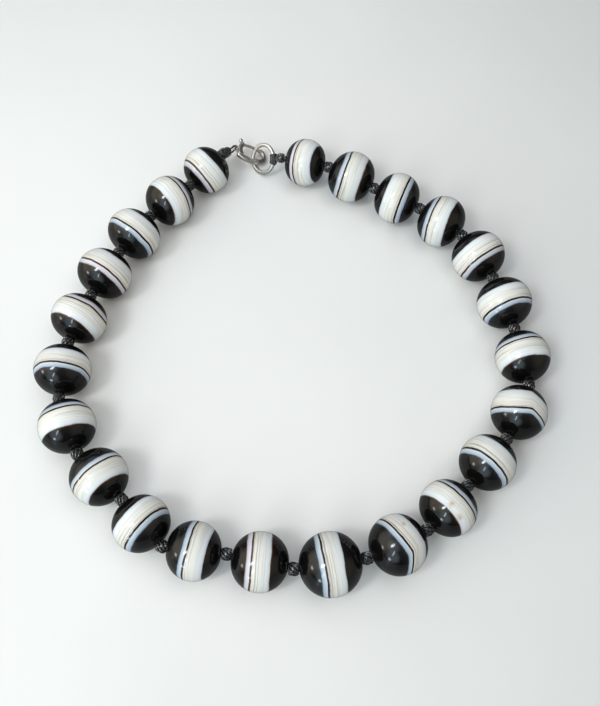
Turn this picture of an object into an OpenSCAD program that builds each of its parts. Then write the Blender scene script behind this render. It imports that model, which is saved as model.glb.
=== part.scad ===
// Necklace of large banded stone beads with a knot in every gap, closed by a trigger clasp on a ring.
// Millimetres. It lies on the plane z = 0, +Z is up, and the largest bead faces -Y.

/* [Beads] */
// Diameter of the hole drilled through each bead
bore_d = 1.6; // [1.4:0.1:1.8]
// Length of thread between the ends of two neighbouring beads
knot_space = 3.4; // [3.35:0.05:3.45]

/* [Thread] */
// Diameter of the silk strand
thread_d = 1.1; // [0.8:0.1:1.2]
// Length of a knot between two beads, along the strand
knot_len = 3.2; // [2.8:0.1:3.2]
// Diameter of a knot between two beads, across the strand
knot_d = 4.0; // [3.6:0.1:4.2]
// Diameter of the knot at the clasp's end
left_knot_d = 4.0; // [3.8:0.1:4.2]
// Diameter of the knot at the ring's end
right_knot_d = 3.6; // [3.5:0.1:3.8]

/* [Ring] */
// Diameter of the ring, measured to the middle of its wire
ring_d = 10.5; // [10.3:0.1:10.7]
// Diameter of the ring's wire
ring_wire_d = 1.5; // [1.3:0.1:1.6]
// Length of the thread winding along the ring's wire
winding_len = 4; // [3:0.5:5]

/* [Clasp] */
// Thickness of the claw
claw_t = 1.6; // [1.4:0.1:1.8]
// Thickness of the forked head
head_t = 2.4; // [2.4:0.1:2.8]
// Thickness of the lever
lever_t = 0.9; // [0.7:0.1:0.9]
// Diameter of the pivot rivet
rivet_d = 0.8; // [0.7:0.1:0.9]
// Diameter of the lever's thumb knob
thumb_d = 1.5; // [1.3:0.1:1.7]

/* [Hidden] */
$fn = 64;

// One row a bead: diameter across the hole, length along the hole, heading of the hole on the table in degrees
BEADS = [
    [17.8, 15.0, -127],
    [18.6, 16.4, -134],
    [19.6, 15.0, -121],
    [19.4, 15.8, -114],
    [19.2, 15.8, -107],
    [19.0, 17.0, -91],
    [18.8, 17.6, -65],
    [18.8, 18.2, -41],
    [18.6, 16.8, -47],
    [18.4, 17.0, -3],
    [18.6, 17.8, -12],
    [20.0, 19.6, 10],
    [19.2, 17.8, 26],
    [18.8, 16.4, 48],
    [18.6, 17.6, 49],
    [18.6, 18.0, 64],
    [18.6, 18.0, 100],
    [19.2, 17.2, 107],
    [19.2, 16.8, 120],
    [19.0, 15.6, 144],
    [18.8, 15.4, 154],
    [19.0, 16.2, 151],
    [17.6, 15.0, 169],
];
last = len(BEADS) - 1;

function bead_d(i) = BEADS[i][0];
function bead_len(i) = BEADS[i][1];
function heading(i) = BEADS[i][2];
function along(i) = [cos(heading(i)), sin(heading(i)), 0];
function two_digits(n) = str(n < 10 ? "0" : "", n);

// The beads are strung one after another from the first one: each centre follows from the one before it.
function step(i) = (bead_len(i - 1) + knot_space) / 2 * along(i - 1) + (knot_space + bead_len(i)) / 2 * along(i);
function strung(i) = i == 0 ? [0, 0, 0] : strung(i - 1) + step(i);
STRUNG = [for (i = [0:last]) strung(i)];

// Half the room that a bead takes along X and along Y
function reach_x(i) = bead_len(i) / 2 + (bead_d(i) - bead_len(i)) / 2 * abs(sin(heading(i)));
function reach_y(i) = bead_len(i) / 2 + (bead_d(i) - bead_len(i)) / 2 * abs(cos(heading(i)));

// The closing span lies between the holes of the first and the last bead.
first_exit = STRUNG[0] - bead_len(0) / 2 * along(0);
last_exit = STRUNG[last] + bead_len(last) / 2 * along(last);
span_mid = (first_exit + last_exit) / 2;

function turn_matrix(a) =
    [[cos(a[2]), -sin(a[2]), 0], [sin(a[2]), cos(a[2]), 0], [0, 0, 1]]
    * [[cos(a[1]), 0, sin(a[1])], [0, 1, 0], [-sin(a[1]), 0, cos(a[1])]]
    * [[1, 0, 0], [0, cos(a[0]), -sin(a[0])], [0, sin(a[0]), cos(a[0])]];

// The ring leans on the table, with its lowest point on it. Its own X axis points at the thread winding.
ring_turn = [43.5, -29.5, -25];
ring_axes = turn_matrix(ring_turn);
ring_z = ring_d / 2 * sqrt(1 - pow(ring_axes[2][2], 2)) + ring_wire_d / 2;
ring_offset = [3.8, 2.9, ring_z];
ring_at = span_mid + ring_offset;
winding_at = ring_at + ring_axes * [ring_d / 2, 0, 0];
winding_angle = winding_len / (ring_d / 2) * 180 / PI;
// Wall of the winding, and its clearance from the wire all round
winding_wall = 0.55;
winding_gap = 0.15;

// The clasp lies almost flat. Its own X axis runs from the eye to the nose, its Y axis from the claw to the lever.
clasp_turn = [-12, 24, -6];
clasp_axes = turn_matrix(clasp_turn);
clasp_offset = [-0.7, 6.1, 3.5];
clasp_at = span_mid + clasp_offset;

// The claw's middle line is a long arc along its back and a tight one round its nose.
nose_c = [1.5, 0];
nose_r = 3.4;
nose_tip_angle = 60;
back_r = 9.6;
back_x = -1.2;
back_c = [back_x, sqrt(pow(back_r - nose_r, 2) - pow(nose_c.x - back_x, 2))];
back_start_angle = -115;
back_end_angle = atan2(-back_c.y, nose_c.x - back_x);
claw_w = 1.7;
claw_tip_w = 1.2;
claw_edge = 0.25;

// The head is forked for the lever above slot_floor. Two round ears hold the rivet, and the eye is a small ring.
pivot = [-4.7, 2.5];
ear_r = 0.95;
slot_floor = 0.6;
slot_len = 4;
slot_side_gap = 0.1;
slot_t = lever_t + 2 * slot_side_gap;
rivet_head = 0.15;
eye = [-6.95, -0.4];
eye_r = 1.1;
eye_wire_d = 0.8;

// Outline of the head in the clasp's own X and Y, round it from the claw's root
HEAD = [
    [-5.6, -3.9], [-6.0, -2.2], [-6.0, -0.4], [-5.85, 1.4], [-5.6, 2.6],
    [-3.8, 2.4], [-4.2, 1.2], [-4.5, 0], [-4.4, -1.4], [-3.9, -2.7],
];

// The lever's middle line is one arc from the rivet to the claw's tip.
lever_c = [-0.9, -5.6];
lever_r = norm(pivot - lever_c);
lever_hub_angle = 113;
lever_tip_angle = 65.5;
lever_w = 1.1;
lever_tip_w = 0.8;
lever_edge = 0.15;
hub_r = 0.85;
rivet_gap = 0.05;
thumb = [-5.2, 4.9];
thumb_stem_d = 0.75;

// The whole necklace is centred on the origin by the beads' outlines and, at the back, by the thumb knob.
thumb_top = clasp_at.y + (clasp_axes * [thumb.x, thumb.y, 0]).y + thumb_d / 2;
low_x = min([for (i = [0:last]) STRUNG[i].x - reach_x(i)]);
high_x = max([for (i = [0:last]) STRUNG[i].x + reach_x(i)]);
low_y = min([for (i = [0:last]) STRUNG[i].y - reach_y(i)]);
centre = [(low_x + high_x) / 2, (low_y + thumb_top) / 2, 0];

module centred() {
    translate(-centre) children();
}

// Puts a shape made along Z on the hole of bead i
module on_bead(i) {
    translate(STRUNG[i] - centre + [0, 0, bead_d(i) / 2]) rotate([0, 90, heading(i)]) children();
}

// A round disc of the bead's length with a full round rim, bored through
module bead(i) {
    rim_c = (bead_d(i) - bead_len(i)) / 2;
    color([0.13, 0.11, 0.10])
        on_bead(i)
            rotate_extrude()
                intersection() {
                    union() {
                        translate([rim_c, 0]) circle(d = bead_len(i));
                        translate([0, -bead_len(i) / 2]) square([rim_c, bead_len(i)]);
                    }
                    translate([bore_d / 2, -bead_len(i)]) square([bead_d(i), 2 * bead_len(i)]);
                }
}

// The knot after bead i: a round core inside a thicker turn of the strand
function knot_at(i) = STRUNG[i]
    + (bead_len(i) + knot_space) / 2 * along(i) + [0, 0, (bead_d(i) + bead_d(i + 1)) / 4];

module knot(i) {
    turn_r = knot_d / 4;
    translate(knot_at(i) - centre)
        rotate([0, 90, (heading(i) + heading(i + 1)) / 2])
            rotate_extrude()
                intersection() {
                    union() {
                        circle(d = knot_len);
                        translate([turn_r, 0]) circle(r = turn_r);
                        translate([0, -turn_r]) square([turn_r, 2 * turn_r]);
                    }
                    translate([0, -knot_len]) square([knot_d, 2 * knot_len]);
                }
}

// A round bar from one point to another
module bar(from, to, d) {
    v = to - from;
    translate(from) rotate([0, acos(v.z / norm(v)), atan2(v.y, v.x)]) cylinder(d = d, h = norm(v));
}

module torus(r, d) {
    rotate_extrude() translate([r, 0]) circle(d = d);
}

// The end knots sit against the first and the last bead.
end_knot_gap = 0.2;
left_knot_at = first_exit - (left_knot_d / 2 + end_knot_gap) * along(0) + [0, 0, bead_d(0) / 2];
right_knot_at = last_exit + (right_knot_d / 2 + end_knot_gap) * along(last) + [0, 0, bead_d(last) / 2];
eye_at = clasp_at + clasp_axes * [eye.x, eye.y, 0];
pull = (left_knot_at - eye_at) / norm(left_knot_at - eye_at);
// The same pull seen in the clasp's own axes
pull_own = pull * clasp_axes;
pull_angle = atan2(pull_own.y, pull_own.x);
// The loop through the eye, the second knot beside the end knot, and the strands between knot and winding
loop_r = 1.9;
loop_d = 0.8;
second_knot_d = 3.6;
tie_d = 2.2;

// The strand's loop through the clasp's eye and the two end knots that hold it
module clasp_end() {
    translate(clasp_at)
        rotate(clasp_turn)
            translate([eye.x + loop_r * cos(pull_angle), eye.y + loop_r * sin(pull_angle), 0])
                rotate([90, 0, pull_angle])
                    torus(loop_r, loop_d);
    translate(left_knot_at) sphere(d = left_knot_d);
    translate(left_knot_at - loop_r * pull) sphere(d = second_knot_d);
}

// The winding on the ring's wire, tied to the last knot
module ring_end() {
    difference() {
        union() {
            translate(ring_at)
                rotate(ring_turn)
                    rotate([0, 0, -winding_angle / 2])
                        rotate_extrude(angle = winding_angle)
                            translate([ring_d / 2, 0])
                                circle(d = ring_wire_d + 2 * (winding_gap + winding_wall));
            translate(right_knot_at) sphere(d = right_knot_d);
            bar(right_knot_at, winding_at, tie_d);
        }
        translate(ring_at) rotate(ring_turn) torus(ring_d / 2, ring_wire_d + 2 * winding_gap);
    }
}

module thread() {
    before = left_knot_d / 2 + end_knot_gap;
    after = right_knot_d / 2 + end_knot_gap;
    color([0.06, 0.06, 0.07]) {
        for (i = [0:last]) {
            tail = i == 0 ? before : knot_space / 2;
            lead = i == last ? after : knot_space / 2;
            on_bead(i)
                translate([0, 0, -bead_len(i) / 2 - tail])
                    cylinder(d = thread_d, h = tail + bead_len(i) + lead);
        }
        for (i = [0:last - 1]) knot(i);
        centred() clasp_end();
        centred() ring_end();
    }
}

// Outline of a bar of changing width that follows the back and then the nose of the claw
function claw_side(offset_0, offset_1) =
    let (n_back = 10, n_nose = 14, n = n_back + n_nose)
    [for (k = [0:n])
        let (
            on_back = k <= n_back,
            off = offset_0 + (offset_1 - offset_0) * k / n,
            a = on_back
                ? back_start_angle + (back_end_angle - back_start_angle) * k / n_back
                : back_end_angle + (nose_tip_angle - back_end_angle) * (k - n_back) / n_nose
        )
        (on_back ? back_c : nose_c) + ((on_back ? back_r : nose_r) + off) * [cos(a), sin(a)]
    ];

function reversed(p) = [for (k = [len(p) - 1:-1:0]) p[k]];

module claw_plate(inset, t) {
    half_0 = claw_w / 2 - inset;
    half_1 = claw_tip_w / 2 - inset;
    linear_extrude(t, center = true)
        polygon(concat(claw_side(half_0, half_1), reversed(claw_side(-half_0, -half_1))));
}

module clasp_body() {
    color([0.78, 0.76, 0.73])
        centred()
            translate(clasp_at)
                rotate(clasp_turn) {
                    claw_plate(0, claw_t - 2 * claw_edge);
                    claw_plate(claw_edge, claw_t);
                    difference() {
                        linear_extrude(head_t, center = true) {
                            polygon(HEAD);
                            translate(pivot) circle(r = ear_r);
                        }
                        translate([pivot.x - slot_len / 2, slot_floor, -slot_t / 2])
                            cube([slot_len, slot_len, slot_t]);
                    }
                    translate(pivot) cylinder(d = rivet_d, h = head_t + 2 * rivet_head, center = true);
                    translate(eye) torus(eye_r, eye_wire_d);
                }
}

function lever_side(offset_0, offset_1) =
    let (n = 12)
    [for (k = [0:n])
        let (
            a = lever_hub_angle + (lever_tip_angle - lever_hub_angle) * k / n,
            off = offset_0 + (offset_1 - offset_0) * k / n
        )
        lever_c + (lever_r + off) * [cos(a), sin(a)]
    ];

module lever_plate(inset, t) {
    half_0 = lever_w / 2 - inset;
    half_1 = lever_tip_w / 2 - inset;
    linear_extrude(t, center = true)
        polygon(concat(lever_side(half_0, half_1), reversed(lever_side(-half_0, -half_1))));
}

module clasp_lever() {
    color([0.74, 0.70, 0.66])
        centred()
            translate(clasp_at)
                rotate(clasp_turn)
                    difference() {
                        union() {
                            lever_plate(0, lever_t - 2 * lever_edge);
                            lever_plate(lever_edge, lever_t);
                            translate(pivot) cylinder(r = hub_r, h = lever_t, center = true);
                            bar([pivot.x, pivot.y, 0], [thumb.x, thumb.y, 0], thumb_stem_d);
                            translate(thumb) sphere(d = thumb_d);
                        }
                        translate(pivot) cylinder(d = rivet_d + 2 * rivet_gap, h = 2 * head_t, center = true);
                    }
}

module clasp_ring() {
    color([0.85, 0.85, 0.84])
        centred()
            translate(ring_at)
                rotate(ring_turn)
                    torus(ring_d / 2, ring_wire_d);
}

for (i = [0:last]) bead(i);
thread();
clasp_body();
clasp_lever();
clasp_ring();
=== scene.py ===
import math

import bmesh
import bpy
import numpy as np
from mathutils import Euler, Matrix, Vector


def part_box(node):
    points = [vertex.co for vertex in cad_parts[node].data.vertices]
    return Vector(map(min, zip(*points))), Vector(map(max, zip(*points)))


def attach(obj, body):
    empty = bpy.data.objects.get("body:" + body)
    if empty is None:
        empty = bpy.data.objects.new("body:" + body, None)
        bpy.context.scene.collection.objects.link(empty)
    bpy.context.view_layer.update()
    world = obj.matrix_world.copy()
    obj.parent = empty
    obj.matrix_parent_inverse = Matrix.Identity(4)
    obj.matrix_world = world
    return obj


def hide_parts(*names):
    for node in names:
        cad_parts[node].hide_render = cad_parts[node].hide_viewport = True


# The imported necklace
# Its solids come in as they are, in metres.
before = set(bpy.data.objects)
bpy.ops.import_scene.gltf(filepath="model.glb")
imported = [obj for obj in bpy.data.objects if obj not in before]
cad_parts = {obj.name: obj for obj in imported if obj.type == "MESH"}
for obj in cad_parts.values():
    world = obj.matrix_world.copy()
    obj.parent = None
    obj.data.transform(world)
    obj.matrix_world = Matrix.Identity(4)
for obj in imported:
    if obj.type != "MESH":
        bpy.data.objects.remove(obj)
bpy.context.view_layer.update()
MM = 0.001

# Camera
# It looks down on the necklace from the front, with the largest bead nearest, turned a little to the right.
FRAME_LONG_SIDE = 706
FOCAL_LENGTH = 808.8
CAMERA_AT = Vector((1.942, -116.12, 263.2)) * MM
CAMERA_TILT = math.radians(23.42)
CAMERA_ROLL = math.radians(1.71)
lens = bpy.data.cameras.new("camera")
lens.sensor_width = 36
lens.lens = FOCAL_LENGTH * lens.sensor_width / FRAME_LONG_SIDE
lens.clip_start = 0.01
camera = bpy.data.objects.new("camera", lens)
camera.matrix_world = (
    Matrix.Translation(CAMERA_AT)
    @ Matrix.Rotation(CAMERA_TILT, 4, "X")
    @ Matrix.Rotation(CAMERA_ROLL, 4, "Z")
)
bpy.context.scene.collection.objects.link(camera)
bpy.context.scene.camera = camera
bpy.context.scene.view_settings.view_transform = "Standard"


# Table
# A round pale board that the beads and the ring rest on, wide enough that its edge stays far away.
BOARD_RADIUS = 4
BOARD_SIDES = 180
BOARD_IN_POLISH = 0.25


def put(tree, kind, inputs=(), **settings):
    """Adds a node, sets its properties, and gives each named input a value or another node's output."""
    made = tree.nodes.new(kind)
    for name, value in settings.items():
        setattr(made, name, value)
    for name, value in dict(inputs).items():
        if isinstance(value, bpy.types.NodeSocket):
            tree.links.new(value, made.inputs[name])
        else:
            made.inputs[name].default_value = value
    return made


def calc(tree, operation, *values):
    """One sum of numbers or node outputs."""
    return put(tree, "ShaderNodeMath", dict(enumerate(values)), operation=operation).outputs[0]


def ramp(tree, factor, stops, smooth=False):
    """A colour for each stretch of a number from 0 to 1."""
    made = put(tree, "ShaderNodeValToRGB", {"Fac": factor})
    if smooth:
        made.color_ramp.interpolation = "EASE"
    for _ in range(len(stops) - 2):
        made.color_ramp.elements.new(0.5)
    for place, (at, colour) in zip(made.color_ramp.elements, stops):
        place.position = at
        place.color = (*colour, 1)
    return made.outputs["Color"]


def material(name):
    """A new material, its nodes and its shader."""
    made = bpy.data.materials.new(name)
    made.use_nodes = True
    return made, made.node_tree, made.node_tree.nodes["Principled BSDF"]


board, tree, shader = material("table")
place = put(tree, "ShaderNodeTexCoord").outputs["Object"]
grain = put(tree, "ShaderNodeTexNoise", {"Vector": place, "Scale": 9, "Detail": 4}).outputs["Fac"]
pale = ramp(tree, grain, [(0.3, (0.74, 0.74, 0.73)), (0.7, (0.78, 0.78, 0.77))])
# Polished stone and silver mirror the board at a quarter of its brightness, so that the caps stay black.
mirrored = put(tree, "ShaderNodeLightPath").outputs["Is Glossy Ray"]
dimmed = calc(tree, "MULTIPLY", mirrored, 1 - BOARD_IN_POLISH)
shown = put(tree, "ShaderNodeMix", {"Factor": dimmed, 6: pale, 7: (0, 0, 0, 1)}, data_type="RGBA").outputs[2]
tree.links.new(shown, shader.inputs["Base Color"])
shader.inputs["Roughness"].default_value = 0.42
bpy.ops.mesh.primitive_circle_add(vertices=BOARD_SIDES, radius=BOARD_RADIUS, fill_type="NGON")
table = bpy.context.object
table.name = "table"
table.data.materials.append(board)


# Light
# Soft daylight from tall windows at the front left, a warm wall on the left and a dim room on the right.
def away(heading, height):
    """The direction from the necklace with that heading and height, in degrees."""
    turn, rise = math.radians(heading), math.radians(height)
    return Vector((math.cos(rise) * math.cos(turn), math.cos(rise) * math.sin(turn), math.sin(rise)))


def window(name, heading, height, distance, width, length, brightness, colour, aim=(0, 0, 0)):
    """A soft oval light in that direction, turned towards a point. Its size doesn't change its brightness."""
    light = bpy.data.lights.new(name, "AREA")
    light.shape = "ELLIPSE"
    light.size = width
    light.size_y = length
    light.energy = math.pi * math.pi / 4 * width * length * brightness
    light.color = colour
    lamp = bpy.data.objects.new(name, light)
    place = away(heading, height) * distance
    turn = (place - Vector(aim)).to_track_quat("Z", "Y")
    lamp.matrix_world = Matrix.Translation(place) @ turn.to_matrix().to_4x4()
    lamp.visible_camera = False
    bpy.context.scene.collection.objects.link(lamp)
    return lamp


window("high_window", -147, 57, 1.4, 0.20, 0.46, 20.0, (0.95, 0.98, 1.0))
window("front_window", -118, 37, 1.4, 0.10, 0.52, 9.0, (0.86, 0.95, 1.0))
window("low_window", -121, 9, 1.4, 0.22, 0.22, 8.0, (0.80, 0.93, 1.0))
window("left_window", -162, 15, 1.4, 0.26, 0.22, 6.0, (1.0, 0.97, 0.90))
# Two large screens that the polished stone doesn't mirror. The upper one lights the left side more than the
# right.
SCREEN_WHITE = (1.0, 1.0, 0.98)
front_screen = window("front_screen", -120, 45, 1.4, 0.8, 0.8, 1.2, SCREEN_WHITE)
upper_screen = window("upper_screen", 175, 85, 0.42, 0.45, 0.45, 0.6, SCREEN_WHITE, aim=(-0.2, 0, 0))
upper_screen.data.spread = math.radians(90)
for screen in (front_screen, upper_screen):
    screen.visible_glossy = False

world = bpy.data.worlds.new("room")
world.use_nodes = True
bpy.context.scene.world = world
tree = world.node_tree
toward = put(tree, "ShaderNodeTexCoord").outputs["Generated"]
height = put(tree, "ShaderNodeSeparateXYZ", {0: toward}).outputs["Z"]
room = ramp(tree, height, [(0.0, (0.03, 0.03, 0.03)), (0.5, (0.08, 0.08, 0.08)), (1.0, (0.17, 0.17, 0.17))])
# Lit patches of the walls: heading, height and half width in degrees, and colour
PATCHES = [
    (178, 28, 45, (1.15, 1.05, 0.88)),
    (112, 45, 34, (0.80, 0.92, 1.05)),
    (-145, 58, 30, (0.90, 1.05, 1.10)),
    (-118, 24, 30, (1.00, 1.25, 1.40)),
    (-20, 20, 45, (0.28, 0.25, 0.20)),
]
BACKDROP = (0.74, 0.74, 0.73, 1)


def wall(room, heading, height, spread, colour):
    """Adds a soft patch of a lit wall in that direction to the room."""
    facing = put(tree, "ShaderNodeVectorMath", {0: toward, 1: away(heading, height)}, operation="DOT_PRODUCT")
    amount = put(
        tree,
        "ShaderNodeMapRange",
        {"Value": facing.outputs["Value"], "From Min": math.cos(math.radians(spread)), "From Max": 1},
        interpolation_type="SMOOTHSTEP",
    ).outputs[0]
    lit = put(tree, "ShaderNodeVectorMath", {0: colour, "Scale": amount}, operation="SCALE").outputs[0]
    return put(tree, "ShaderNodeVectorMath", {0: room, 1: lit}, operation="ADD").outputs[0]


for patch in PATCHES:
    room = wall(room, *patch)
# The camera itself sees a plain pale backdrop behind the table.
seen = put(tree, "ShaderNodeLightPath").outputs["Is Camera Ray"]
backdrop = put(tree, "ShaderNodeMix", {"Factor": seen, 6: room, 7: BACKDROP}, data_type="RGBA")
tree.links.new(backdrop.outputs[2], tree.nodes["Background"].inputs["Color"])

# Beads
# Banded agate, cut and polished so that its flat layers cross each bead: a broad cream one with fine grey
# lines, a thin dark line, a pale blue stripe, and black caps. The drilled solids keep their form and get this
# stone.

# Each row: length along the hole, the hole's heading, the layers' heading from the cream to the blue side,
# their rise, the dark line's distance from the bead's middle, the cream layer's width, and, from 0 to 1, how
# far its stripe goes from blue to a lilac white with brown borders, and how amber the cream's outer edge is.
# Sizes are in mm and angles in degrees.
BEADS = [
    (15.0, -127, -135, -11, 3.6, 6.4, 1.0, 0.1),
    (16.4, -134, 43, -9, 2.4, 6.5, 0.7, 0.8),
    (15.0, -121, -123, -1, 1.8, 6.2, 0.1, 0.1),
    (15.8, -114, -120, -1, 1.1, 6.2, 1.0, 0.15),
    (15.8, -107, 68, 0, 3.2, 6.8, 0.9, 0.9),
    (17.0, -91, -90, 7, 1.9, 5.6, 0.15, 0.1),
    (17.6, -65, 110, -4, 2.85, 6.6, 0.2, 0.6),
    (18.2, -41, 132, -4, 0.1, 5.8, 0.3, 0.7),
    (16.8, -47, -42, 3, 2.8, 6.1, 0.1, 0.1),
    (17.0, -3, 168, 1, 0.9, 5.6, 0.1, 0.05),
    (17.8, -12, 178, 3, 2.6, 5.8, 1.0, 1.0),
    (19.6, 10, -169, -1, 2.1, 5.7, 0.05, 0.05),
    (17.8, 26, -140, 4, 0.2, 5.6, 0.1, 0.1),
    (16.4, 48, 45, -6, 2.2, 6.1, 0.3, 0.7),
    (17.6, 49, -130, 4, 2.4, 6.2, 0.1, 0.1),
    (18.0, 64, -95, -7, 0.4, 6.2, 0.1, 0.1),
    (18.0, 100, 102, -5, 2.7, 6.5, 0.3, 0.8),
    (17.2, 107, -71, 0, 3.2, 6.3, 0.1, 0.15),
    (16.8, 120, -55, -5, 2.6, 6.3, 0.7, 0.1),
    (15.6, 144, 155, -6, 2.7, 6.3, 0.1, 0.5),
    (15.4, 154, -22, -1, 2.3, 6.4, 0.2, 0.1),
    (16.2, 151, 162, 4, 2.4, 6.6, 0.2, 0.7),
    (15.0, 169, 160, -15, 1.2, 6.5, 1.0, 0.15),
]
# The cream layer's width in the tables of colours, and how far they reach to each side of the dark line
USUAL_CREAM = 6.2
RAMP_REACH = 9

stone = bpy.data.node_groups.new("banded_agate", "ShaderNodeTree")
for label, kind in (
    ("Point", "Vector"),
    ("Cream width", "Float"),
    ("Warmth", "Float"),
    ("Amber", "Float"),
    ("Variety", "Float"),
    ("Fold at", "Float"),
    ("Fold slope", "Float"),
):
    stone.interface.new_socket(label, in_out="INPUT", socket_type=f"NodeSocket{kind}")
for label, kind in (("Color", "Color"), ("Roughness", "Float"), ("Height", "Float")):
    stone.interface.new_socket(label, in_out="OUTPUT", socket_type=f"NodeSocket{kind}")
given = stone.nodes.new("NodeGroupInput")
point = given.outputs["Point"]


def noise(tree, vector, scale, detail=2, roughness=0.5):
    """Smooth noise from 0 to 1."""
    inputs = {"Vector": vector, "Scale": scale, "Detail": detail, "Roughness": roughness}
    return put(tree, "ShaderNodeTexNoise", inputs).outputs["Fac"]


def rise_from(tree, value, low, high, bottom=0, top=1):
    """A smooth step of a number from bottom to top between two values."""
    inputs = {"Value": value, "From Min": low, "From Max": high, "To Min": bottom, "To Max": top}
    return put(tree, "ShaderNodeMapRange", inputs, interpolation_type="SMOOTHSTEP").outputs[0]


def blend(tree, share, first, second):
    """Two colours mixed by a share of the second."""
    return put(tree, "ShaderNodeMix", {"Factor": share, 6: first, 7: second}, data_type="RGBA").outputs[2]


# Each bead takes its own part of the noise. The layers wander a little: a slow swell of about 0.3 mm and a
# fine one under 0.1 mm.
SWELL, RIPPLE = 1.1, 0.16
variety = given.outputs["Variety"]
shift = put(stone, "ShaderNodeCombineXYZ", {1: variety, 2: variety}).outputs[0]
own = put(stone, "ShaderNodeVectorMath", {0: point, 1: shift}, operation="ADD").outputs[0]
swell = calc(stone, "MULTIPLY", calc(stone, "SUBTRACT", noise(stone, own, 0.11), 0.5), SWELL)
ripple = calc(stone, "MULTIPLY", calc(stone, "SUBTRACT", noise(stone, own, 0.8), 0.5), RIPPLE)
across = put(stone, "ShaderNodeSeparateXYZ", {0: point})
depth = calc(stone, "ADD", calc(stone, "ADD", across.outputs["X"], swell), ripple)

# In a few beads the flat layers bend along a line. Past it, on the side that its sign names, they run at a
# slope.
bend = given.outputs["Fold at"]
along = calc(stone, "MULTIPLY", across.outputs["Y"], calc(stone, "SIGN", bend))
past_bend = calc(stone, "SMOOTH_MAX", calc(stone, "SUBTRACT", along, calc(stone, "ABSOLUTE", bend)), 0, 1)
depth = calc(stone, "SUBTRACT", depth, calc(stone, "MULTIPLY", past_bend, given.outputs["Fold slope"]))

# The cream side is stretched to the bead's own width of cream.
cream_scale = calc(stone, "DIVIDE", USUAL_CREAM, given.outputs["Cream width"])
cream_side = calc(stone, "MULTIPLY", calc(stone, "MINIMUM", depth, 0), cream_scale)
depth = calc(stone, "ADD", calc(stone, "MAXIMUM", depth, 0), cream_side)
inputs = {"Value": depth, "From Min": -RAMP_REACH, "From Max": RAMP_REACH}
share = put(stone, "ShaderNodeMapRange", inputs).outputs[0]


def layers(*stops):
    """Ramp stops from distances in mm from the dark line, those towards the blue side above zero."""
    return [((mm + RAMP_REACH) / (2 * RAMP_REACH), colour) for mm, colour in stops]


CAP = (0.0035, 0.0033, 0.0032)
CREAM = [
    (-8.4, CAP),
    (-7.2, (0.005, 0.0045, 0.004)),
    (-6.28, (0.012, 0.008, 0.006)),
    (-6.08, (0.55, 0.60, 0.65)),
    (-5.5, (0.69, 0.74, 0.78)),
    (-4.8, (0.76, 0.78, 0.78)),
    (-3.0, (0.77, 0.77, 0.73)),
    (-1.0, (0.74, 0.72, 0.67)),
    (-0.35, (0.66, 0.63, 0.57)),
]
cool = ramp(
    stone, share,
    layers(
        *CREAM,
        (0.35, (0.57, 0.63, 0.68)),
        (0.8, (0.47, 0.55, 0.62)),
        (1.3, (0.37, 0.45, 0.54)),
        (1.62, (0.25, 0.32, 0.41)),
        (1.80, (0.018, 0.020, 0.024)),
        (2.6, (0.007, 0.007, 0.008)),
        (4.5, CAP),
    ),
)
warm = ramp(
    stone, share,
    layers(
        *CREAM,
        (0.35, (0.66, 0.65, 0.67)),
        (0.8, (0.60, 0.62, 0.69)),
        (1.3, (0.52, 0.55, 0.63)),
        (1.58, (0.40, 0.38, 0.40)),
        (1.74, (0.11, 0.035, 0.018)),
        (1.95, (0.012, 0.006, 0.005)),
        (2.4, CAP),
    ),
)
plain = blend(stone, given.outputs["Warmth"], cool, warm)

# An amber border of about 0.25 mm runs along the outer edge of the cream, stronger on some stretches.
AMBER, AMBER_AT, AMBER_HALF = (0.20, 0.075, 0.026, 1), -6.24, 0.2
stretch = rise_from(stone, noise(stone, own, 0.13), 0.40, 0.56, 0.45, 1)
edge = calc(stone, "ABSOLUTE", calc(stone, "SUBTRACT", depth, AMBER_AT))
border = calc(stone, "MULTIPLY", rise_from(stone, edge, 0.05, AMBER_HALF, 1, 0), stretch)
border = calc(stone, "MULTIPLY", border, given.outputs["Amber"])
plain = blend(stone, border, plain, AMBER)

# Fine grey and tan lines lie in the cream layer, strongest beside the dark line.
LINE_CHANGE = 0.04
GREY_LINE, TAN_LINE = (0.22, 0.19, 0.15, 1), (0.48, 0.44, 0.36, 1)


def lines_along(closeness, low, high):
    """Lines as long as the bead, which change slowly on their way. More closeness makes them finer."""
    flat = put(
        stone, "ShaderNodeCombineXYZ",
        {
            0: calc(stone, "ADD", calc(stone, "MULTIPLY", depth, closeness), variety),
            1: calc(stone, "MULTIPLY", across.outputs["Y"], LINE_CHANGE),
            2: calc(stone, "MULTIPLY", across.outputs["Z"], LINE_CHANGE),
        },
    ).outputs[0]
    return rise_from(stone, noise(stone, flat, 1.0, detail=2, roughness=0.6), low, high)


FULL, NONE = (1, 1, 1), (0, 0, 0)
strength = ramp(
    stone, share,
    layers(
        (-5.6, NONE),
        (-4.7, (0.30, 0.30, 0.30)),
        (-2.6, (0.55, 0.55, 0.55)),
        (-1.2, (0.85, 0.85, 0.85)),
        (-0.5, FULL),
        (-0.3, NONE),
        (2.2, NONE),
    ),
)
broad = calc(stone, "MULTIPLY", lines_along(1.3, 0.46, 0.66), 0.32)
fine = calc(stone, "MULTIPLY", lines_along(3.6, 0.52, 0.64), 0.76)
lined = blend(stone, calc(stone, "MULTIPLY", broad, strength), plain, TAN_LINE)
lined = blend(stone, calc(stone, "MULTIPLY", fine, strength), lined, GREY_LINE)

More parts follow.
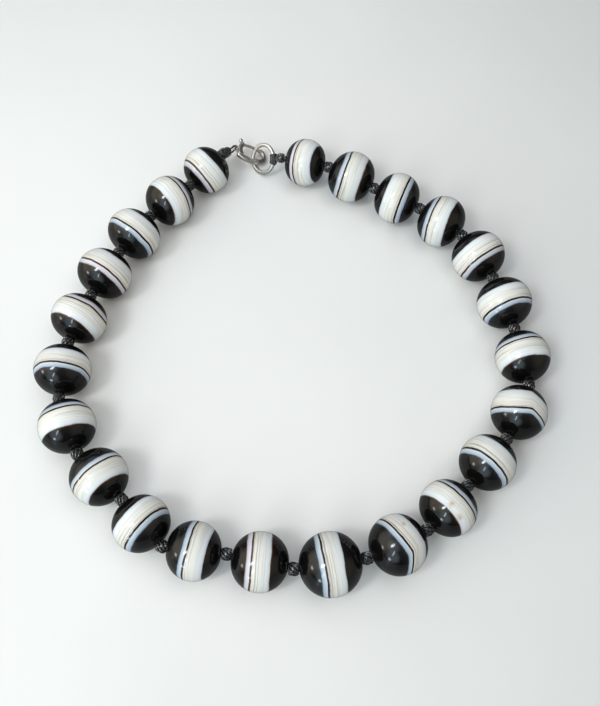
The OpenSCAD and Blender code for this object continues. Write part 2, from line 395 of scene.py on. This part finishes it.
# The dark line itself, a steady 0.65 mm wide
LINE_HALF = 0.32
BLACK, BROWN = (0.010, 0.009, 0.009, 1), (0.075, 0.026, 0.016, 1)
line_colour = blend(stone, given.outputs["Warmth"], BLACK, BROWN)
on_line = rise_from(stone, calc(stone, "ABSOLUTE", depth), LINE_HALF - 0.07, LINE_HALF + 0.09, 1, 0)
colour = blend(stone, on_line, lined, line_colour)
polish = noise(stone, own, 0.35, detail=3)
gloss = put(stone, "ShaderNodeMapRange", {"Value": polish, "To Min": 0.06, "To Max": 0.15}).outputs[0]
made = stone.nodes.new("NodeGroupOutput")
stone.links.new(colour, made.inputs["Color"])
stone.links.new(gloss, made.inputs["Roughness"])
stone.links.new(noise(stone, own, 0.5, detail=3), made.inputs["Height"])

# Small rust marks on the cream: bead, place in mm, radius in mm
RUST = (0.50, 0.31, 0.15, 1)
MARKS = [(13, (34.9, -65.2, 17.8), 1.0), (14, (49.6, -58.8, 18.7), 1.5), (14, (52.1, -62.7, 17.3), 1.4)]

# The folded beads: the bend's distance from the middle in mm, with its side's sign, and the slope past it.
# All the others are flat.
FLAT = (1, 0)
FOLDS = {5: (-4.6, -0.22), 13: (5.0, 0.62), 16: (2.0, 0.66)}


def rusted(tree, place, colour, spot, radius):
    """A colour with a ragged mark on it."""
    spot = Vector(spot) * MM
    far = put(tree, "ShaderNodeVectorMath", {0: place, 1: spot}, operation="DISTANCE").outputs["Value"]
    ragged = calc(tree, "MULTIPLY_ADD", noise(tree, place, 900, detail=3), radius * 1.6 * MM, far)
    amount = rise_from(tree, ragged, radius * 0.8 * MM, radius * 1.9 * MM, 0.72, 0)
    return blend(tree, amount, colour, RUST)


for number, (length, hole, heading, rise, line, cream, warmth, amber) in enumerate(BEADS, 1):
    name = f"bead_{number:02d}"
    low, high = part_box(name)
    agate, tree, shader = material(f"agate_{number:02d}")
    turn = Euler((0, -math.radians(rise), math.radians(heading)))
    place = put(tree, "ShaderNodeTexCoord").outputs["Object"]
    mapping = put(tree, "ShaderNodeMapping", {"Vector": place}, vector_type="TEXTURE")
    mapping.inputs["Location"].default_value = (low + high) / 2 + turn.to_matrix() @ Vector((line * MM, 0, 0))
    mapping.inputs["Rotation"].default_value = turn
    mapping.inputs["Scale"].default_value = (MM, MM, MM)
    banded = tree.nodes.new("ShaderNodeGroup")
    banded.node_tree = stone
    tree.links.new(mapping.outputs[0], banded.inputs["Point"])
    banded.inputs["Cream width"].default_value = cream
    banded.inputs["Warmth"].default_value = warmth
    banded.inputs["Amber"].default_value = amber
    banded.inputs["Variety"].default_value = number * 17.3
    fold_at, fold_slope = FOLDS.get(number, FLAT)
    banded.inputs["Fold at"].default_value = fold_at
    banded.inputs["Fold slope"].default_value = fold_slope
    colour = banded.outputs["Color"]
    for marked, spot, radius in MARKS:
        if marked == number:
            colour = rusted(tree, place, colour, spot, radius)
    inputs = {"Height": banded.outputs["Height"], "Distance": 0.03 * MM, "Strength": 0.5}
    bump = put(tree, "ShaderNodeBump", inputs)
    tree.links.new(colour, shader.inputs["Base Color"])
    tree.links.new(banded.outputs["Roughness"], shader.inputs["Roughness"])
    tree.links.new(bump.outputs[0], shader.inputs["Normal"])
    shader.inputs["IOR"].default_value = 1.54
    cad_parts[name].material_slots[0].material = agate

# Thread
# Black silk, several fine threads laid side by side. It runs through the drilled holes and is knotted in
# each gap, so that no bead touches the next. Two more knots and a loop hold the clasp's eye, and a winding
# holds the ring.
silk, tree, shader = material("black_silk")
# Each thread's own coordinates: mm along it, and turns round it
laid = put(tree, "ShaderNodeAttribute", attribute_name="laid").outputs["Vector"]
inputs = {"Vector": laid, "Scale": (2.5, 14, 1), "Rotation": (0, 0, 0.5)}
fibres = put(tree, "ShaderNodeMapping", inputs).outputs[0]
fibre = noise(tree, fibres, 1.0, detail=3, roughness=0.6)
black = ramp(tree, fibre, [(0.3, (0.003, 0.003, 0.004)), (0.7, (0.012, 0.012, 0.014))])
# Painted glints: pale grey flecks mixed into the silk's colour stand in for the shine of its threads.
PAINTED_GLINT = (0.22, 0.22, 0.23, 1)
inputs = {"Vector": laid, "Scale": (1.5, 4, 1), "Rotation": (0, 0, 0.4)}
glint_patches = put(tree, "ShaderNodeMapping", inputs).outputs[0]
# Where the painted glints lie on the silk
flat = rise_from(tree, noise(tree, glint_patches, 1.0, detail=2, roughness=0.7), 0.56, 0.66)
tree.links.new(blend(tree, flat, black, PAINTED_GLINT), shader.inputs["Base Color"])
dull = put(tree, "ShaderNodeMapRange", {"Value": fibre, "To Min": 0.12, "To Max": 0.30}).outputs[0]
tree.links.new(dull, shader.inputs["Roughness"])
bump = put(tree, "ShaderNodeBump", {"Height": fibre, "Distance": 0.05 * MM, "Strength": 0.6})
tree.links.new(bump.outputs[0], shader.inputs["Normal"])
shader.inputs["Sheen Weight"].default_value = 0.08
shader.inputs["Sheen Roughness"].default_value = 0.4
shader.inputs["Coat Weight"].default_value = 1
shader.inputs["Coat Roughness"].default_value = 0.12
shader.inputs["Coat IOR"].default_value = 2.0


def shape_tree(name, **inputs):
    """A tree that turns the geometry given to it into another, with named sizes."""
    made = bpy.data.node_groups.new(name, "GeometryNodeTree")
    made.interface.new_socket("Geometry", in_out="INPUT", socket_type="NodeSocketGeometry")
    made.interface.new_socket("Geometry", in_out="OUTPUT", socket_type="NodeSocketGeometry")
    for label, kind in inputs.items():
        made.interface.new_socket(label, in_out="INPUT", socket_type=f"NodeSocket{kind}")
    return made, made.nodes.new("NodeGroupInput").outputs


def capture(tree, geometry, value):
    """Keeps a number on a geometry. Returns the geometry and the kept number."""
    made = tree.nodes.new("GeometryNodeCaptureAttribute")
    made.capture_items.new("FLOAT", "kept")
    tree.links.new(geometry, made.inputs["Geometry"])
    tree.links.new(value, made.inputs["kept"])
    return made.outputs["Geometry"], made.outputs["kept"]


THREAD_SIDES = 6


def sweep_threads(tree, path, points, radius):
    """Threads along a path, one at each point of the section, with their own coordinates kept on them."""
    path, along = capture(tree, path, tree.nodes.new("GeometryNodeSplineParameter").outputs["Length"])
    inputs = {"Resolution": THREAD_SIDES, "Radius": radius}
    ring = put(tree, "GeometryNodeCurvePrimitiveCircle", inputs).outputs["Curve"]
    ring, around = capture(tree, ring, tree.nodes.new("GeometryNodeSplineParameter").outputs["Factor"])
    section = put(tree, "GeometryNodeInstanceOnPoints", {"Points": points, "Instance": ring}).outputs[0]
    section = put(tree, "GeometryNodeRealizeInstances", {"Geometry": section}).outputs[0]
    inputs = {"Curve": path, "Profile Curve": section, "Fill Caps": True}
    swept = put(tree, "GeometryNodeCurveToMesh", inputs).outputs[0]
    along = calc(tree, "DIVIDE", along, MM)
    laid = put(tree, "ShaderNodeCombineXYZ", {"X": along, "Y": around}).outputs[0]
    inputs = {"Geometry": swept, "Name": "laid", "Value": laid}
    return put(tree, "GeometryNodeStoreNamedAttribute", inputs, data_type="FLOAT_VECTOR").outputs[0]


def finish_tree(tree, geometry):
    """Ends a tree with one smooth mesh of silk."""
    made = put(tree, "GeometryNodeRealizeInstances", {"Geometry": geometry}).outputs[0]
    made = put(tree, "GeometryNodeSetShadeSmooth", {"Geometry": made}).outputs[0]
    made = put(tree, "GeometryNodeSetMaterial", {"Geometry": made, "Material": silk}).outputs[0]
    tree.links.new(made, tree.nodes.new("NodeGroupOutput").inputs["Geometry"])


def shaped(name, mesh, tree, **sizes):
    """The plain mesh that a tree makes of a mesh."""
    source = bpy.data.objects.new(name, mesh)
    bpy.context.scene.collection.objects.link(source)
    modifier = source.modifiers.new("shape", "NODES")
    modifier.node_group = tree
    for socket in tree.interface.items_tree:
        if socket.name in sizes:
            modifier[socket.identifier] = sizes[socket.name]
    seen = source.evaluated_get(bpy.context.evaluated_depsgraph_get())
    result = bpy.data.meshes.new_from_object(seen)
    source.modifiers.clear()
    source.data = result
    return source


# A laid strand: threads round the middle of a path, twisted together
strand_tree, given = shape_tree("silk_strand", Threads="Int", Radius="Float", Lay="Float", Twist="Float")
path = put(strand_tree, "GeometryNodeMeshToCurve", {"Mesh": given["Geometry"]}).outputs[0]
run = strand_tree.nodes.new("GeometryNodeSplineParameter").outputs["Length"]
inputs = {"Curve": path, "Tilt": calc(strand_tree, "MULTIPLY", run, given["Twist"])}
path = put(strand_tree, "GeometryNodeSetCurveTilt", inputs).outputs[0]
inputs = {"Vertices": given["Threads"], "Radius": given["Lay"]}
points = put(strand_tree, "GeometryNodeMeshCircle", inputs).outputs[0]
finish_tree(strand_tree, sweep_threads(strand_tree, path, points, given["Radius"]))

# A knot: a flat band of threads that winds round the strand and crosses over and under itself, on a round
# core. The band runs Crossings times from end to end and back while it goes round Wraps times.
BAND_POINTS = 150
CORE_SIDES, CORE_RINGS = 16, 10
knot_tree, given = shape_tree(
    "silk_knot",
    Wraps="Int", Crossings="Int", Girth="Float", Swell="Float", Half="Float", Threads="Int", Radius="Float",
)
circle = put(knot_tree, "GeometryNodeCurvePrimitiveCircle", {"Resolution": BAND_POINTS}).outputs["Curve"]
done = knot_tree.nodes.new("GeometryNodeSplineParameter").outputs["Factor"]
lap = calc(knot_tree, "MULTIPLY", done, 2 * math.pi)
wrap = calc(knot_tree, "MULTIPLY", lap, given["Wraps"])
cross = calc(knot_tree, "MULTIPLY", lap, given["Crossings"])
bulge = calc(knot_tree, "MULTIPLY", given["Swell"], calc(knot_tree, "COSINE", cross))
reach = calc(knot_tree, "ADD", given["Girth"], bulge)
place = put(
    knot_tree,
    "ShaderNodeCombineXYZ",
    {
        "X": calc(knot_tree, "MULTIPLY", given["Half"], calc(knot_tree, "SINE", cross)),
        "Y": calc(knot_tree, "MULTIPLY", reach, calc(knot_tree, "COSINE", wrap)),
        "Z": calc(knot_tree, "MULTIPLY", reach, calc(knot_tree, "SINE", wrap)),
    },
).outputs[0]
path = put(knot_tree, "GeometryNodeSetPosition", {"Geometry": circle, "Position": place}).outputs[0]
outward = put(knot_tree, "ShaderNodeVectorMath", {0: place}, operation="NORMALIZE").outputs[0]
inputs = {"Curve": path, "Normal": outward}
path = put(knot_tree, "GeometryNodeSetCurveNormal", inputs, mode="FREE").outputs[0]
side = calc(knot_tree, "MULTIPLY", calc(knot_tree, "SUBTRACT", 1, given["Threads"]), given["Radius"])
start = put(knot_tree, "ShaderNodeCombineXYZ", {"Y": side}).outputs[0]
width = calc(knot_tree, "MULTIPLY", given["Radius"], 2)
step = put(knot_tree, "ShaderNodeCombineXYZ", {"Y": width}).outputs[0]
inputs = {"Count": given["Threads"], "Start Location": start, "Offset": step}
points = put(knot_tree, "GeometryNodeMeshLine", inputs).outputs[0]
band = sweep_threads(knot_tree, path, points, given["Radius"])
inputs = {"Segments": CORE_SIDES, "Rings": CORE_RINGS, "Radius": given["Girth"]}
core = put(knot_tree, "GeometryNodeMeshUVSphere", inputs).outputs[0]
both = knot_tree.nodes.new("GeometryNodeJoinGeometry")
knot_tree.links.new(band, both.inputs[0])
knot_tree.links.new(core, both.inputs[0])


def of_place(name):
    """The turn or the size that is kept with each knot's place."""
    kept = put(knot_tree, "GeometryNodeInputNamedAttribute", {"Name": name}, data_type="FLOAT_VECTOR")
    return kept.outputs["Attribute"]


turn = put(knot_tree, "FunctionNodeEulerToRotation", {"Euler": of_place("turn")}).outputs[0]
size = of_place("size")
inputs = {"Points": given["Geometry"], "Instance": both.outputs[0], "Rotation": turn, "Scale": size}
finish_tree(knot_tree, put(knot_tree, "GeometryNodeInstanceOnPoints", inputs).outputs[0])

# The knots' widths in mm, and the room between an end bead and its knot
KNOT_WIDTH = 4.0
LEFT_KNOT, SECOND_KNOT, RIGHT_KNOT = 4.0, 3.6, 3.6
END_GAP = 0.2


def direction(heading):
    """The level direction with that heading in degrees."""
    return Vector((math.cos(math.radians(heading)), math.sin(math.radians(heading)), 0))


middles = [sum(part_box(f"bead_{i:02d}"), Vector()) / 2 / MM for i in range(1, len(BEADS) + 1)]
holes = [direction(row[1]) for row in BEADS]
entries = [middle - row[0] / 2 * hole for middle, hole, row in zip(middles, holes, BEADS)]
exits = [middle + row[0] / 2 * hole for middle, hole, row in zip(middles, holes, BEADS)]
left_knot = entries[0] - (LEFT_KNOT / 2 + END_GAP) * holes[0]
right_knot = exits[-1] + (RIGHT_KNOT / 2 + END_GAP) * holes[-1]

# Where the clasp and the ring lie, in mm and degrees. The clasp lies almost flat on the table, and the ring
# leans on it.
CLASP_AT = Vector((-19.05, 80.66, 3.5))
CLASP_TURN = Euler([math.radians(a) for a in (-12, 24, -6)])
EYE = Vector((-6.95, -0.4, 0))
RING_AT = Vector((-14.55, 77.46, 4.82))
RING_TURN = Euler([math.radians(a) for a in (43.5, -29.5, -25)])
RING_RADIUS = 5.25
SECOND_KNOT_STEP = 1.9
clasp_axes = CLASP_TURN.to_matrix()
ring_axes = RING_TURN.to_matrix()
eye_at = CLASP_AT + clasp_axes @ EYE
pull = (left_knot - eye_at).normalized()
second_knot = left_knot - SECOND_KNOT_STEP * pull
winding_at = RING_AT + ring_axes @ Vector((RING_RADIUS, 0, 0))

LEAN = 0.12
knot_places, knot_turns, knot_sizes = [], [], []
chance = np.random.default_rng(7)


def add_knot(at, toward, width):
    """Notes a knot's place, its strand's direction and its width. Each is spun and leans in its own way."""
    spin, tip, sway = chance.uniform(0, 2 * math.pi), chance.uniform(-LEAN, LEAN), chance.uniform(-LEAN, LEAN)
    turned = toward.to_track_quat("X", "Z").to_matrix() @ Euler((0, tip, sway)).to_matrix()
    turned = turned @ Euler((spin, 0, 0)).to_matrix()
    knot_places.append(at * MM)
    knot_turns.append(turned.to_euler())
    knot_sizes.append([width / KNOT_WIDTH * chance.uniform(0.96, 1.02)] * 3)


for left, right in zip(exits, entries[1:]):
    add_knot((left + right) / 2, right - left, KNOT_WIDTH)
add_knot(left_knot, holes[0], LEFT_KNOT)
add_knot(second_knot, pull, SECOND_KNOT)
add_knot(right_knot, winding_at - right_knot, RIGHT_KNOT)

marks = bpy.data.meshes.new("knot_places")
marks.from_pydata(knot_places, [], [])
for name, values in (("turn", knot_turns), ("size", knot_sizes)):
    marks.attributes.new(name, "FLOAT_VECTOR", "POINT").data.foreach_set("vector", np.ravel(values))
knots = shaped(
    "silk_knots",
    marks,
    knot_tree,
    Wraps=4,
    Crossings=9,
    Girth=1.42 * MM,
    Swell=0.48 * MM,
    Half=1.42 * MM,
    Threads=1,
    Radius=0.27 * MM,
)

# Laid strands: how many threads, each one's radius and its distance from the middle in mm, and turns to a mm
STRING_LAY = (4, 0.23, 0.3, 0.12)
LOOP_LAY = (3, 0.19, 0.2, 0.25)
WINDING_LAY = (3, 0.16, 0.15, 0.5)
TIE_LAY = (5, 0.34, 0.62, 0.04)
STEPS = 8


def strand(name, points, make, closed=False):
    """A laid strand of that make along points in mm."""
    threads, radius, lay, twist = make
    mesh = bpy.data.meshes.new(name)
    edges = [(k, k + 1) for k in range(len(points) - 1)]
    if closed:
        edges.append((len(points) - 1, 0))
    mesh.from_pydata([p * MM for p in points], edges, [])
    sizes = {"Threads": threads, "Radius": radius * MM, "Lay": lay * MM, "Twist": twist * 2 * math.pi / MM}
    return shaped(name, mesh, strand_tree, **sizes)


route = [left_knot]
for left, right in zip(entries, exits):
    route += [left.lerp(right, k / STEPS) for k in range(STEPS + 1)]
route.append(right_knot)
string = strand("silk_string", route, STRING_LAY)

# The loop through the clasp's eye lies in the plane of the pull and the eye's hole.
LOOP_RADIUS, LOOP_POINTS = 1.9, 48
pull_own = clasp_axes.transposed() @ pull
pull_flat = (clasp_axes @ Vector((pull_own.x, pull_own.y, 0))).normalized()
hole_of_eye = clasp_axes @ Vector((0, 0, 1))
loop_at = eye_at + LOOP_RADIUS * pull_flat
turns = [2 * math.pi * k / LOOP_POINTS for k in range(LOOP_POINTS)]
around_eye = [loop_at + LOOP_RADIUS * (math.cos(a) * pull_flat + math.sin(a) * hole_of_eye) for a in turns]
loop = strand("silk_eye_loop", around_eye, LOOP_LAY, closed=True)

# The winding on the ring: turns side by side, then the strands that tie it to the last knot. Its length along
# the wire counts the strand's own width.
WINDING_LENGTH, WINDING_TURNS, WINDING_RADIUS, WINDING_WIDTH = 4.0, 7.5, 1.17, 0.5
WINDING_POINTS = 260
TIE_REACH = 1.2
coil = []
for k in range(WINDING_POINTS):
    part = k / (WINDING_POINTS - 1)
    round_ring = (part - 0.5) * (WINDING_LENGTH - WINDING_WIDTH) / RING_RADIUS
    round_wire = 2 * math.pi * WINDING_TURNS * part
    outward = Vector((math.cos(round_ring), math.sin(round_ring), 0))
    on_wire = math.cos(round_wire) * outward + math.sin(round_wire) * Vector((0, 0, 1))
    coil.append(RING_AT + ring_axes @ (RING_RADIUS * outward + WINDING_RADIUS * on_wire))
winding = strand("silk_winding", coil, WINDING_LAY)
tie_end = winding_at + (right_knot - winding_at).normalized() * TIE_REACH
tie = strand("silk_tie", [right_knot.lerp(tie_end, k / STEPS) for k in range(STEPS + 1)], TIE_LAY)

for piece in (knots, string, loop, winding, tie):
    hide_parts("thread")
    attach(piece, "necklace")


# Ring
# Round silver wire, bent and soldered shut, bright and lightly worn. The clasp is hooked on it. The solid
# keeps its form and gets this silver.
STAINS, SCRATCHES = 520, 2500


def silver(name, colour, stain, stained, polished, worn):
    """Silver with soft stains over a share of it, and a fine wear between two roughnesses."""
    metal, tree, shader = material(name)
    place = put(tree, "ShaderNodeTexCoord").outputs["Object"]
    cloud = noise(tree, place, STAINS, detail=4, roughness=0.6)
    amount = rise_from(tree, cloud, 0.60 - stained, 0.78 - stained / 2)
    tree.links.new(blend(tree, amount, (*colour, 1), (*stain, 1)), shader.inputs["Base Color"])
    wear = noise(tree, place, SCRATCHES, detail=3)
    rough = put(tree, "ShaderNodeMapRange", {"Value": wear, "To Min": polished, "To Max": worn}).outputs[0]
    dulled = calc(tree, "MULTIPLY", amount, 0.15)
    tree.links.new(calc(tree, "ADD", rough, dulled), shader.inputs["Roughness"])
    bump = put(tree, "ShaderNodeBump", {"Height": wear, "Distance": 0.02 * MM, "Strength": 0.25})
    tree.links.new(bump.outputs[0], shader.inputs["Normal"])
    shader.inputs["Metallic"].default_value = 1
    return metal


bright_silver = silver("bright_silver", (0.98, 0.97, 0.91), (0.80, 0.75, 0.62), 0.02, 0.34, 0.46)
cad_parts["clasp_ring"].material_slots[0].material = bright_silver

# Clasp
# Cast silver, filed round and polished: a claw that tapers to its tip, a forked head with two round ears, a
# rivet through them, and an eye for the thread. It is duller than the ring, with brown stains where the
# polish is worn.
cast_silver = silver("cast_silver", (0.94, 0.86, 0.79), (0.44, 0.28, 0.20), 0.13, 0.26, 0.40)
CLAW_THICK, CLAW_THINNED = 1.95, 0.2
CLAW_WIDE, CLAW_NARROW = 2.1, 1.6
HEAD_THICK, LEVER_THICK = 2.4, 0.9
PIVOT = Vector((-4.7, 2.5, 0))
# The claw's line: an arc along its back, then one round its nose to the tip. Angles are in degrees.
NOSE, NOSE_RADIUS, NOSE_END = Vector((1.5, 0, 0)), 3.4, 60
BACK_RADIUS, BACK_X, BACK_START = 9.6, -1.2, -115
BACK = Vector((BACK_X, math.sqrt((BACK_RADIUS - NOSE_RADIUS) ** 2 - (NOSE.x - BACK_X) ** 2), 0))
BACK_END = math.degrees(math.atan2(-BACK.y, NOSE.x - BACK_X))


def arc(middle, radius, start, end, count):
    """Points along an arc in the clasp's own plane, with the direction away from its middle at each."""
    turns = [math.radians(start + (end - start) * k / count) for k in range(count + 1)]
    outward = [Vector((math.cos(a), math.sin(a), 0)) for a in turns]
    return [(middle + radius * out, out) for out in outward]


def bar(mesh, line, widths, heights, sides=20, fullness=0.8):
    """Adds a bar along a line to a mesh, round in section at a fullness of 1 and squarer below it."""
    rings = []
    for (at, out), width, height in zip(line, widths, heights):
        ring = []
        for k in range(sides):
            a = 2 * math.pi * k / sides
            c, s = math.cos(a), math.sin(a)
            c, s = math.copysign(abs(c) ** fullness, c), math.copysign(abs(s) ** fullness, s)
            ring.append(mesh.verts.new(at + out * width / 2 * c + Vector((0, 0, height / 2 * s))))
        rings.append(ring)
    for low, high in zip(rings, rings[1:]):
        for k in range(sides):
            mesh.faces.new((low[k], low[(k + 1) % sides], high[(k + 1) % sides], high[k]))
    mesh.faces.new(rings[0][::-1])
    mesh.faces.new(rings[-1])


# A round end in four steps: how far each lies past the bar's end, in half widths, and the width it keeps
DOME_STEPS = [(0.35, 0.94), (0.7, 0.71), (0.92, 0.38), (1.0, 0.1)]


def dome(end, before, width, height):
    """The sections of a round end, past the last point of a line."""
    at, out = end
    step = (at - before[0]).normalized() * width / 2
    return [((at + step * past, out), width * keep, height * keep) for past, keep in DOME_STEPS]


def domed(line, widths, heights):
    """The same line, widths and heights with a round end at each end."""
    first = dome(line[0], line[1], widths[0], heights[0])[::-1]
    last = dome(line[-1], line[-2], widths[-1], heights[-1])
    return zip(*first, *zip(line, widths, heights), *last)


def evenly(start, end, count):
    """That many numbers from start to end."""
    return [start + (end - start) * k / (count - 1) for k in range(count)]


def cast(name, mesh, metal):
    """Turns a mesh in the clasp's own axes into a finished piece in its place."""
    bmesh.ops.remove_doubles(mesh, verts=mesh.verts, dist=0.001)
    bmesh.ops.recalc_face_normals(mesh, faces=mesh.faces)
    data = bpy.data.meshes.new(name)
    mesh.to_mesh(data)
    mesh.free()
    data.transform(Matrix.Scale(MM, 4) @ Matrix.Translation(CLASP_AT) @ clasp_axes.to_4x4())
    for face in data.polygons:
        face.use_smooth = True
    data.materials.append(metal)
    piece = bpy.data.objects.new(name, data)
    bpy.context.scene.collection.objects.link(piece)
    return piece


def tube(mesh, middle, profile, sides=28):
    """Adds a shape turned round an axis square to the clasp's plane, from a closed profile."""
    turns = [2 * math.pi * k / sides for k in range(sides)]
    rings = []
    for radius, height in profile:
        points = [Vector((radius * math.cos(a), radius * math.sin(a), height)) for a in turns]
        rings.append([mesh.verts.new(middle + point) for point in points])
    for low, high in zip(rings, rings[1:] + rings[:1]):
        for k in range(sides):
            mesh.faces.new((low[k], low[(k + 1) % sides], high[(k + 1) % sides], high[k]))


line = arc(BACK, BACK_RADIUS, BACK_START, BACK_END, 16)[:-1] + arc(NOSE, NOSE_RADIUS, BACK_END, NOSE_END, 22)
widths = evenly(CLAW_WIDE, CLAW_NARROW, len(line))
heights = [CLAW_THICK * (1 - CLAW_THINNED * part ** 3) for part in evenly(0, 1, len(line))]
claw = bmesh.new()
bar(claw, *domed(line, widths, heights))

EYE_RADIUS, EYE_WIRE, EYE_SIDES = 1.1, 0.8, 16
turns = [2 * math.pi * k / EYE_SIDES for k in range(EYE_SIDES)]
tube(claw, EYE, [(EYE_RADIUS + EYE_WIRE / 2 * math.cos(a), EYE_WIRE / 2 * math.sin(a)) for a in turns])

# The rivet's two heads, from rim to middle, in rivet radii and in mm above the head's face
RIVET_RADIUS, RIVET_HEAD = 0.4, 0.15
RIVET_DOME = [(1.3, 0), (1.2, 0.08), (0.7, RIVET_HEAD), (0.0025, RIVET_HEAD)]
half = HEAD_THICK / 2
rim = [(RIVET_RADIUS * wide, half + high) for wide, high in RIVET_DOME]
tube(claw, PIVOT, rim[::-1] + [(RIVET_RADIUS, half), (RIVET_RADIUS, -half)] + [(r, -h) for r, h in rim])
clasp = cast("clasp_claw", claw, cast_silver)

# The head: a plate with rounded edges, slotted for the lever from its top. Its outline is in mm.
HEAD_EDGE = 0.42
HEAD_SIDE = [(-5.3, -3.5), (-5.8, -3.0), (-6.05, -2.0), (-6.05, -0.4), (-5.85, 1.4)]
HEAD_INNER = [(-4.1, 1.2), (-4.35, 0), (-4.2, -1.4), (-3.7, -2.5), (-4.2, -3.3)]
EAR_RADIUS = 0.95
SLOT_FLOOR, SLOT_GAP = 0.6, 0.1
ear = [point.to_tuple()[:2] for point, _ in arc(PIVOT, EAR_RADIUS, 190, -10, 14)]
outline = HEAD_SIDE + ear + HEAD_INNER
plate = bmesh.new()
lower = [plate.verts.new((x, y, -half)) for x, y in outline]
upper = [plate.verts.new((x, y, half)) for x, y in outline]
plate.faces.new(lower[::-1])
plate.faces.new(upper)
for k in range(len(outline)):
    after = (k + 1) % len(outline)
    plate.faces.new((lower[k], lower[after], upper[after], upper[k]))
head = cast("clasp_head", plate, cast_silver)
soften = head.modifiers.new("filed_edges", "BEVEL")
soften.width = HEAD_EDGE * MM
soften.segments = 5
soften.limit_method = "ANGLE"
soften.angle_limit = math.radians(50)
slot_size = Vector((4, 4, LEVER_THICK + 2 * SLOT_GAP))
cutter = bmesh.new()
bmesh.ops.create_cube(cutter, size=1)
bmesh.ops.scale(cutter, vec=slot_size, verts=cutter.verts)
bmesh.ops.translate(cutter, vec=(PIVOT.x, SLOT_FLOOR + slot_size.y / 2, 0), verts=cutter.verts)
slot = cast("slot", cutter, cast_silver)
cut = head.modifiers.new("slot", "BOOLEAN")
cut.object = slot
cut.operation = "DIFFERENCE"
head.data = bpy.data.meshes.new_from_object(head.evaluated_get(bpy.context.evaluated_depsgraph_get()))
head.modifiers.clear()
bpy.data.objects.remove(slot)
head.data.set_sharp_from_angle(angle=math.radians(35))

for piece in (clasp, head):
    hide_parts("clasp_body")
    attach(piece, "necklace")

# Lever
# A slim cast arm that closes the claw, turning on the rivet with a small spring behind it. Its thumb knob
# stands on a short stem above the head.
LEVER_MIDDLE = Vector((-0.9, -5.6, 0))
LEVER_RADIUS = (PIVOT - LEVER_MIDDLE).length
LEVER_START, LEVER_END = 109.5, 65.5
ARM_WIDE, ARM_NARROW = 1.1, 0.8
ARM_THICK = LEVER_THICK * 0.98
HUB_RADIUS, HUB_EDGE, BORE_RADIUS = 0.85, 0.12, 0.45
line = arc(LEVER_MIDDLE, LEVER_RADIUS, LEVER_START, LEVER_END, 20)
arm = bmesh.new()
bar(arm, *domed(line, evenly(ARM_WIDE, ARM_NARROW, len(line)), [ARM_THICK] * len(line)))
half = LEVER_THICK / 2
rim = [(HUB_RADIUS, half - HUB_EDGE), (HUB_RADIUS - HUB_EDGE, half), (BORE_RADIUS, half)]
tube(arm, PIVOT, [(r, -h) for r, h in rim[::-1]] + rim)

# The stem and the knob: distance from the rivet and width in mm, the knob's worked out from its angles
THUMB, THUMB_WIDTH, STEM_WIDTH = Vector((-5.2, 4.9, 0)), 1.5, 0.75
STEM = [(HUB_RADIUS - 0.15, 0.85), (1.1, STEM_WIDTH), (1.5, STEM_WIDTH * 0.95), (1.75, STEM_WIDTH)]
KNOB_ANGLES = [0.55, 0.8, 1.1, 1.4, 1.7, 2.0, 2.3, 2.6, 2.9, 3.05]
stem = (THUMB - PIVOT).normalized()
across_stem = Vector((-stem.y, stem.x, 0))
knob_at = (THUMB - PIVOT).length
knob = [(knob_at - THUMB_WIDTH / 2 * math.cos(a), THUMB_WIDTH * math.sin(a)) for a in KNOB_ANGLES]
widths = [width for _, width in STEM + knob]
bar(arm, [(PIVOT + stem * at, across_stem) for at, _ in STEM + knob], widths, widths)
lever = cast("clasp_lever_arm", arm, cast_silver)
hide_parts("clasp_lever")
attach(lever, "lever")
